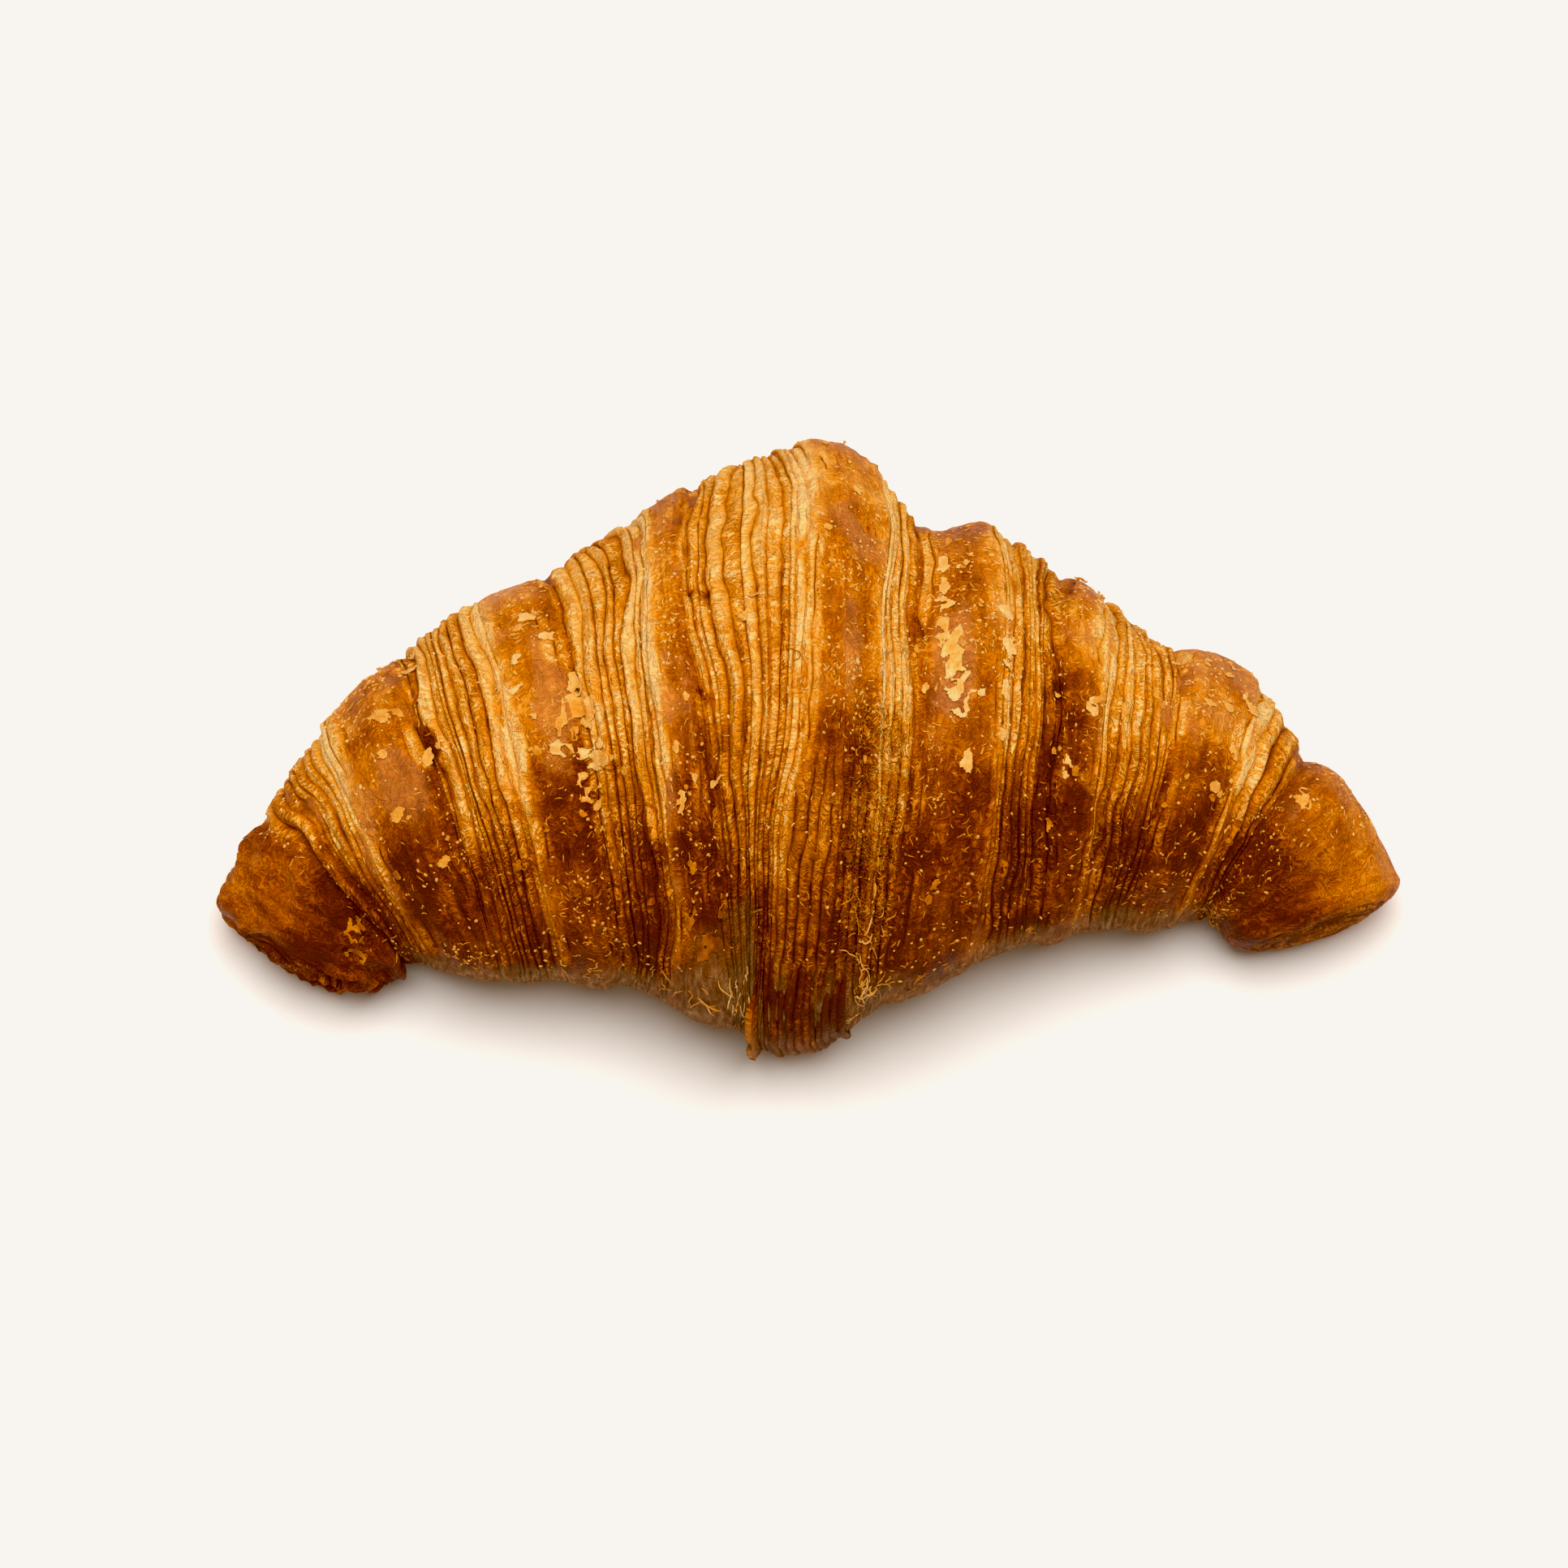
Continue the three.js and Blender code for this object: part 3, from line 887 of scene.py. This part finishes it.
def makeStrands():
    bm = bmesh.new()
    darknessLayer = bm.verts.layers.float.new("bakeAndShade")
    draw = random.Random(31)
    for place, degrees, placeSpread, degreeSpread, number, lengths, level in strands["bunches"]:
        for _ in range(number):
            spot = crustSpot(place + draw.gauss(0, placeSpread), degrees + draw.gauss(0, degreeSpread))
            length = draw.uniform(*lengths)
            turn = draw.gauss(0, 0.45)
            bow = draw.gauss(0, 0.35)
            wave = draw.gauss(0, 0.25)
            stand = draw.uniform(0.05, 0.3)
            made = bmesh.ops.create_grid(bm, x_segments=1, y_segments=strands["steps"], size=0.5)["verts"]
            flat = np.array([vert.co[:2] for vert in made])
            t = flat[:, 1] * 2
            dv = t * length / 2
            thin = strands["width"] * (1 - 0.7 * t ** 2)
            du = flat[:, 0] * thin * 2 + bow * t ** 2 + wave * np.sin(3 * t)
            along, around = laidRound(spot, du, dv, turn)
            points = onCrust(along, around, crustPoints) + onCrust(along, around, crustNormals) * stand
            points[:, 2] = np.maximum(points[:, 2], 0.3)
            paler = draw.uniform(-0.14, 0.14)
            for vert, point in zip(made, points):
                vert.co = point * mm
                vert[darknessLayer] = max(level + paler, 0.0)
    bmesh.ops.recalc_face_normals(bm, faces=bm.faces)
    return finishPiece("torn_strands", bm, strands["thickness"], offset=0)


looseStrands = makeStrands()
print(f"strands: {len(looseStrands.data.polygons)} faces")

beads = [
    makeCrumbs("glaze_specks", crumbs["specks"], 7, speckShare, speckShape),
    makeCrumbs("glaze_squiggles", crumbs["squiggles"], 8, speckShare, squiggleShape),
    makeCrumbs("torn_fibres", crumbs["fibres"], 9, fibreShare, fibreShape),
]


# the settings go first, because a node group has to be set before its sockets can be filled
def addNode(tree, kind, inputs=None, **settings):
    made = tree.nodes.new(kind)
    for key, value in settings.items():
        setattr(made, key, value)
    for socket, value in (inputs or {}).items():
        if isinstance(value, bpy.types.NodeSocket):
            tree.links.new(value, made.inputs[socket])
        else:
            made.inputs[socket].default_value = value
    return made


def mathNode(tree, operation, a, b=0.0):
    return addNode(tree, "ShaderNodeMath", {0: a, 1: b}, operation=operation).outputs[0]


def mapRange(tree, value, fromMin, fromMax, toMin=0.0, toMax=1.0):
    inputs = {"Value": value, "From Min": fromMin, "From Max": fromMax, "To Min": toMin, "To Max": toMax}
    return addNode(tree, "ShaderNodeMapRange", inputs).outputs[0]


def mixColour(tree, factor, a, b):
    return addNode(tree, "ShaderNodeMix", {"Factor": factor, 6: a, 7: b}, data_type="RGBA").outputs[2]


def mixValue(tree, factor, a, b):
    return addNode(tree, "ShaderNodeMix", {"Factor": factor, 2: a, 3: b}).outputs[0]


def rampNode(tree, factor, stops):
    made = addNode(tree, "ShaderNodeValToRGB", {"Fac": factor})
    ramp = made.color_ramp
    while len(ramp.elements) < len(stops):
        ramp.elements.new(0.5)
    for element, (position, colour) in zip(ramp.elements, stops):
        element.position = position
        element.color = (*colour, 1)
    return made.outputs[0]


def noiseNode(tree, vector, scale, detail=3.0, roughness=0.55, distortion=0.0):
    inputs = {
        "Vector": vector,
        "Scale": scale,
        "Detail": detail,
        "Roughness": roughness,
        "Distortion": distortion,
    }
    return addNode(tree, "ShaderNodeTexNoise", inputs).outputs["Fac"]


# a random value for each whole number
def drawnValue(tree, number):
    return addNode(tree, "ShaderNodeTexWhiteNoise", {"W": number}, noise_dimensions="1D").outputs["Value"]


def attribute(tree, name):
    return addNode(tree, "ShaderNodeAttribute", attribute_name=name).outputs["Fac"]


def newGroup(name, inputs, outputs):
    group = bpy.data.node_groups.new(name, "ShaderNodeTree")
    for key, kind, value in inputs:
        socket = group.interface.new_socket(key, in_out="INPUT", socket_type=kind)
        if value is not None:
            socket.default_value = value
    for key, kind in outputs:
        group.interface.new_socket(key, in_out="OUTPUT", socket_type=kind)
    return group


# value scaled round zero: (value - 0.5) * amount
def swing(tree, value, amount):
    return mathNode(tree, "MULTIPLY", mathNode(tree, "SUBTRACT", value, 0.5), amount)


# the sum of values, each of which may be a socket or a number
def addUp(tree, *values):
    total = values[0]
    for value in values[1:]:
        total = mathNode(tree, "ADD", total, value)
    return total


def product(tree, *values):
    total = values[0]
    for value in values[1:]:
        total = mathNode(tree, "MULTIPLY", total, value)
    return total


def opposite(tree, value):
    return mathNode(tree, "SUBTRACT", 1.0, value)


# colour of baked dough from pale cream to nearly burnt
def bakedColourGroup():
    group = newGroup(
        "bakedColour",
        [("Bake", "NodeSocketFloat", 0.5), ("Golden", "NodeSocketFloat", 0.0)],
        [("Color", "NodeSocketColor")],
    )
    start = group.nodes.new("NodeGroupInput")
    end = group.nodes.new("NodeGroupOutput")
    glazed = rampNode(group, start.outputs["Bake"], [
        (0.0, (0.98, 0.62, 0.26)),
        (0.14, (0.92, 0.48, 0.115)),
        (0.30, (0.81, 0.325, 0.028)),
        (0.46, (0.62, 0.185, 0.0045)),
        (0.60, (0.43, 0.105, 0.0016)),
        (0.74, (0.245, 0.044, 0.0008)),
        (0.88, (0.120, 0.017, 0.0005)),
        (1.0, (0.05, 0.0055, 0.0004)),
    ])
    unglazed = rampNode(group, start.outputs["Bake"], [
        (0.0, (1.0, 0.67, 0.27)),
        (0.14, (0.96, 0.53, 0.135)),
        (0.30, (0.88, 0.395, 0.055)),
        (0.46, (0.72, 0.25, 0.010)),
        (0.60, (0.52, 0.150, 0.004)),
        (0.74, (0.29, 0.070, 0.002)),
        (0.88, (0.15, 0.028, 0.001)),
        (1.0, (0.06, 0.009, 0.0006)),
    ])
    golden = start.outputs["Golden"]
    group.links.new(mixColour(group, golden, glazed, unglazed), end.inputs["Color"])
    return group


# fine curly wrinkles of dried dough: Height from 0 to 1, Crest where they catch the light, and
# the line along the foot of each crest, used to paint shade there
def wrinkleGroup():
    group = newGroup(
        "wrinkles",
        [("Vector", "NodeSocketVector", None), ("Scale", "NodeSocketFloat", 900.0)],
        [("Height", "NodeSocketFloat"), ("Crest", "NodeSocketFloat"), ("Line", "NodeSocketFloat")],
    )
    start = group.nodes.new("NodeGroupInput")
    end = group.nodes.new("NodeGroupOutput")
    field = noiseNode(group, start.outputs["Vector"], start.outputs["Scale"], 2.0, 0.55, 2.0)
    fromLine = mathNode(group, "ABSOLUTE", mathNode(group, "SUBTRACT", field, 0.5))
    group.links.new(mapRange(group, fromLine, 0.12, 0.0), end.inputs["Height"])
    group.links.new(mapRange(group, fromLine, 0.075, 0.02), end.inputs["Crest"])
    fromCrest = mathNode(group, "ABSOLUTE", mathNode(group, "SUBTRACT", fromLine, 0.075))
    group.links.new(mapRange(group, fromCrest, 0.036, 0.006), end.inputs["Line"])
    return group


bakedColour = bakedColourGroup()
wrinkles = wrinkleGroup()


def placeGroup(tree, group, inputs):
    return addNode(tree, "ShaderNodeGroup", inputs, node_tree=group).outputs


def crustMaterial():
    material = bpy.data.materials.new("crust")
    material.use_nodes = True
    tree = material.node_tree
    shader = tree.nodes["Principled BSDF"]
    place = addNode(tree, "ShaderNodeTexCoord").outputs["Object"]
    uv = addNode(tree, "ShaderNodeUVMap", uv_map="rollUv").outputs[0]
    along = addNode(tree, "ShaderNodeMapping", {"Vector": uv, "Scale": (1, 0.16, 1)}).outputs[0]
    across = addNode(tree, "ShaderNodeMapping", {"Vector": uv, "Scale": (1.0, 1.2, 1)}).outputs[0]
    darkness = attribute(tree, "bakeAndShade")
    riser = attribute(tree, "riser")
    layers = attribute(tree, "layer")
    frizzy = attribute(tree, "frizz")
    unglazed = attribute(tree, "margin")

    # sheets of dough seen on their cut edges, each split into finer leaves
    stray = noiseNode(tree, along, 6.0, 3.0)
    strayed = mathNode(tree, "ADD", layers, swing(tree, stray, 0.3))
    sheet = mathNode(tree, "FLOOR", strayed)
    fromMiddle = mathNode(tree, "ABSOLUTE", swing(tree, mathNode(tree, "FRACT", strayed), 2.0))
    groove = mathNode(tree, "POWER", fromMiddle, 7.0)
    crest = opposite(tree, mathNode(tree, "POWER", fromMiddle, 1.4))
    sheetTone = drawnValue(tree, sheet)
    depth = drawnValue(tree, mathNode(tree, "ADD", mathNode(tree, "ROUND", strayed), 0.37))
    groove = product(tree, groove, mapRange(tree, depth, 0.0, 1.0, 0.35, 1.5))
    leaves = noiseNode(tree, along, 30.0, 2.0, 0.6)
    splits = mapRange(tree, noiseNode(tree, along, 17.0, 1.0, 0.5), 0.44, 0.36)

    # wrinkles: worms all over, and beads that cross the crests of the ridges; their crests are painted paler
    # as highlights and the lines at their feet darker as shade
    worms = placeGroup(tree, wrinkles, {"Vector": place, "Scale": 440.0})
    crossing = placeGroup(tree, wrinkles, {"Vector": across, "Scale": 3.8})
    patch = mapRange(tree, noiseNode(tree, place, 200.0, 2.0), 0.34, 0.52)
    beadHighlight = product(tree, crossing["Crest"], crest, patch)
    curlShade = product(tree, mathNode(tree, "MAXIMUM", crossing["Line"], worms["Line"]), crest)
    pale = mapRange(tree, darkness, 0.36, 0.72, 1.0, 0.45)
    wormHighlight = product(tree, worms["Crest"], mapRange(tree, patch, 0.2, 1.0, 0.1, 1.0))

    blotch = noiseNode(tree, place, 130.0, 2.0, 0.5)
    mottle = noiseNode(tree, place, 420.0, 4.0, 0.62)
    fine = noiseNode(tree, place, 1700.0, 2.0, 0.6)
    streaks = noiseNode(tree, along, 8.0, 3.0, 0.6, 0.8)
    # on the treads the wrinkles' crests are painted paler as highlights and the lines at their feet darker
    # as shade
    treadLevel = addUp(
        tree, darkness,
        swing(tree, blotch, 0.34),
        swing(tree, mottle, 0.28),
        swing(tree, fine, 0.14),
        swing(tree, streaks, 0.5),
        product(tree, worms["Line"], 0.06),
        product(tree, wormHighlight, -0.13),
    )
    # on the cut ridges the crests and the beads across them are painted paler as highlights; the grooves,
    # the splits and the lines at the feet of the wrinkles are painted darker as shade
    riserLevel = addUp(
        tree, darkness, 0.10,
        product(tree, groove, pale, 0.20),
        product(tree, crest, pale, -0.20),
        product(tree, opposite(tree, pale), -0.10),
        product(tree, splits, 0.08),
        product(tree, beadHighlight, -0.34),
        product(tree, curlShade, pale, 0.25),
        product(tree, swing(tree, sheetTone, 0.34), pale),
        swing(tree, blotch, 0.26),
        swing(tree, mottle, 0.22),
        swing(tree, streaks, 0.24),
        swing(tree, leaves, 0.08),
    )
    cutHere = addUp(tree, riser, swing(tree, leaves, 0.9), swing(tree, streaks, 0.6))
    cut = mapRange(tree, cutHere, 0.15, 0.85)
    mixed = mixValue(tree, cut, treadLevel, riserLevel)
    # the crests of the wrinkles in the torn middle are painted paler as highlights
    mixed = addUp(tree, mixed, product(tree, wormHighlight, frizzy, -0.25))
    golden = product(tree, cut, crest, mapRange(tree, darkness, 0.4, 0.72, 0.85, 0.1))
    level = mathNode(tree, "MINIMUM", mathNode(tree, "MAXIMUM", mixed, 0.02), 0.90)
    base = placeGroup(tree, bakedColour, {"Bake": level, "Golden": golden})["Color"]

    # here and there a pinkish sheen is painted on the tops of the treads, where the glaze would reflect the
    # light
    paintedSheen = mapRange(tree, noiseNode(tree, place, 75.0, 3.0, 0.6), 0.52, 0.62)
    paintedSheen = mathNode(tree, "MAXIMUM", paintedSheen, attribute(tree, "paintedSheen"))
    paintedSheen = product(tree, paintedSheen, mapRange(tree, darkness, 0.78, 0.62))
    paintedSheen = product(tree, paintedSheen, attribute(tree, "gloss"), opposite(tree, cut), 0.42)
    base = mixColour(tree, paintedSheen, base, (0.60, 0.235, 0.070, 1))

    # the skin that never saw the glaze stays matt and tan, with pale fibres
    fibrous = noiseNode(tree, along, 16.0, 4.0, 0.62, 0.3)
    tan = rampNode(tree, fibrous, [
        (0.28, (0.13, 0.047, 0.010)),
        (0.46, (0.22, 0.092, 0.024)),
        (0.60, (0.37, 0.185, 0.066)),
        (0.80, (0.60, 0.36, 0.16)),
    ])
    covering = mapRange(tree, streaks, 0.40, 0.62, 0.92, 0.52)
    base = mixColour(tree, product(tree, unglazed, covering), base, tan)
    tree.links.new(base, shader.inputs["Base Color"])

    rough = mixValue(tree, mathNode(tree, "MAXIMUM", cut, unglazed), 0.34, 0.6)
    tree.links.new(mathNode(tree, "ADD", rough, swing(tree, mottle, 0.3)), shader.inputs["Roughness"])
    shader.inputs["Specular IOR Level"].default_value = 0.02
    shader.inputs["Subsurface Weight"].default_value = 0.3
    shader.inputs["Subsurface Radius"].default_value = (1.0, 0.35, 0.08)
    shader.inputs["Subsurface Scale"].default_value = 0.9 * mm
    shader.inputs["Coat Roughness"].default_value = 0.22
    glazed = product(
        tree, mapRange(tree, blotch, 0.42, 0.62, 0.0, 0.08), attribute(tree, "gloss"),
        mapRange(tree, mixed, 0.72, 0.52), opposite(tree, cut),
    )
    tree.links.new(glazed, shader.inputs["Coat Weight"])

    height = addUp(
        tree,
        product(tree, groove, cut, -0.7),
        product(tree, splits, cut, -0.4),
        product(tree, swing(tree, leaves, 0.4), cut),
        product(tree, crossing["Height"], crest, cut, 0.4),
        swing(tree, mottle, 0.9),
        product(tree, worms["Height"], mixValue(tree, frizzy, 0.45, 1.0)),
        swing(tree, fine, 0.15),
    )
    bump = addNode(tree, "ShaderNodeBump", {"Height": height, "Distance": 0.0004, "Strength": 1.0})
    tree.links.new(bump.outputs["Normal"], shader.inputs["Normal"])
    return material


# dry glaze: thin, pale and matt, or brown and clear where it has baked dark
def glazeMaterial(name, roughness, spread):
    material = bpy.data.materials.new(name)
    material.use_nodes = True
    tree = material.node_tree
    shader = tree.nodes["Principled BSDF"]
    place = addNode(tree, "ShaderNodeTexCoord").outputs["Object"]
    cloud = noiseNode(tree, place, 500.0, 3.0, 0.6)
    grain = placeGroup(tree, wrinkles, {"Vector": place, "Scale": 1300.0})
    level = addUp(tree, attribute(tree, "bakeAndShade"), swing(tree, cloud, spread))
    level = mathNode(tree, "MAXIMUM", level, 0.0)
    base = placeGroup(tree, bakedColour, {"Bake": level, "Golden": 0.6})["Color"]
    tree.links.new(base, shader.inputs["Base Color"])
    tree.links.new(mathNode(tree, "ADD", swing(tree, cloud, 0.2), roughness), shader.inputs["Roughness"])
    shader.inputs["Specular IOR Level"].default_value = 0.15
    height = addUp(tree, cloud, product(tree, grain["Height"], 0.4))
    bump = addNode(tree, "ShaderNodeBump", {"Height": height, "Distance": 0.00015, "Strength": 1.0})
    tree.links.new(bump.outputs["Normal"], shader.inputs["Normal"])
    return material


crustFinish = crustMaterial()
crust.data.materials.append(crustFinish)
tongueSheet.data.materials.append(crustFinish)
glazeFilms.data.materials.append(glazeMaterial("dryFilm", 0.55, 0.2))
beadFinish = glazeMaterial("driedGlaze", 0.4, 0.1)
looseStrands.data.materials.append(beadFinish)
for piece in beads:
    piece.data.materials.append(beadFinish)
print("materials made")


def makeFloor():
    bm = bmesh.new()
    bmesh.ops.create_grid(bm, x_segments=1, y_segments=1, size=3.0)
    made = makeObject("table", bm)
    material = bpy.data.materials.new("table")
    material.use_nodes = True
    shader = material.node_tree.nodes["Principled BSDF"]
    # a little cool, to make up for the warm fill
    shader.inputs["Base Color"].default_value = (0.885, 0.905, 0.930, 1)
    shader.inputs["Roughness"].default_value = 0.9
    shader.inputs["Specular IOR Level"].default_value = 0.0
    made.data.materials.append(material)
    return made


floor = makeFloor()

light = {
    "worldStrength": 0.28,
    "worldColor": (1.0, 0.64, 0.37, 1),   # warm, so that the shadow is brownish
    "sunStrength": 3.2,
    "sunColor": (1.0, 0.96, 0.90),
    "sunTilt": 6.0,        # degrees from straight down, so that the light comes from the back
    "sunTurn": 2.0,
    "sunAngle": 36.0,      # wide, so that the shadow is soft
}
world = bpy.data.worlds.new("studio")
world.use_nodes = True
world.node_tree.nodes["Background"].inputs["Color"].default_value = light["worldColor"]
world.node_tree.nodes["Background"].inputs["Strength"].default_value = light["worldStrength"]
scene.world = world

sunData = bpy.data.lights.new("sun", "SUN")
sunData.energy = light["sunStrength"]
sunData.color = light["sunColor"]
sunData.angle = math.radians(light["sunAngle"])
sun = bpy.data.objects.new("sun", sunData)
sun.rotation_euler = (-math.radians(light["sunTilt"]), math.radians(light["sunTurn"]), 0)
scene.collection.objects.link(sun)

view = {
    "elevation": 76.0,     # degrees above the table
    "lens": 135.0,
    "sensor": 36.0,
    "width": 212.5,        # mm of the table that the frame spans
    "aim": (-3.4, -6.6, 25.0),   # mm, the place in the middle of the frame
}
elevation = math.radians(view["elevation"])
distance = view["width"] * view["lens"] / view["sensor"]
aimX, aimY, aimZ = view["aim"]
cameraData = bpy.data.cameras.new("camera")
cameraData.lens = view["lens"]
cameraData.sensor_width = view["sensor"]
camera = bpy.data.objects.new("camera", cameraData)
camera.location = (
    aimX * mm,
    (aimY - distance * math.cos(elevation)) * mm,
    (aimZ + distance * math.sin(elevation)) * mm,
)
camera.rotation_euler = (math.pi / 2 - elevation, 0, 0)
scene.collection.objects.link(camera)
scene.camera = camera

# the paper white of the table: brighter light is held there, so that it stays even
paperWhite = (0.939, 0.913, 0.871)
scene.view_settings.view_transform = "Standard"
scene.view_settings.look = "None"
scene.view_settings.use_curve_mapping = True
mapping = scene.view_settings.curve_mapping
mapping.black_level = (0.006, 0.006, 0.010)
for curve, limit in zip(mapping.curves, paperWhite):
    curve.points[0].location = (0, 0)
    curve.points[1].location = (1, limit)
    curve.points.new(limit, limit)
    for point in curve.points:
        point.handle_type = "VECTOR"
mapping.extend = "HORIZONTAL"
mapping.update()
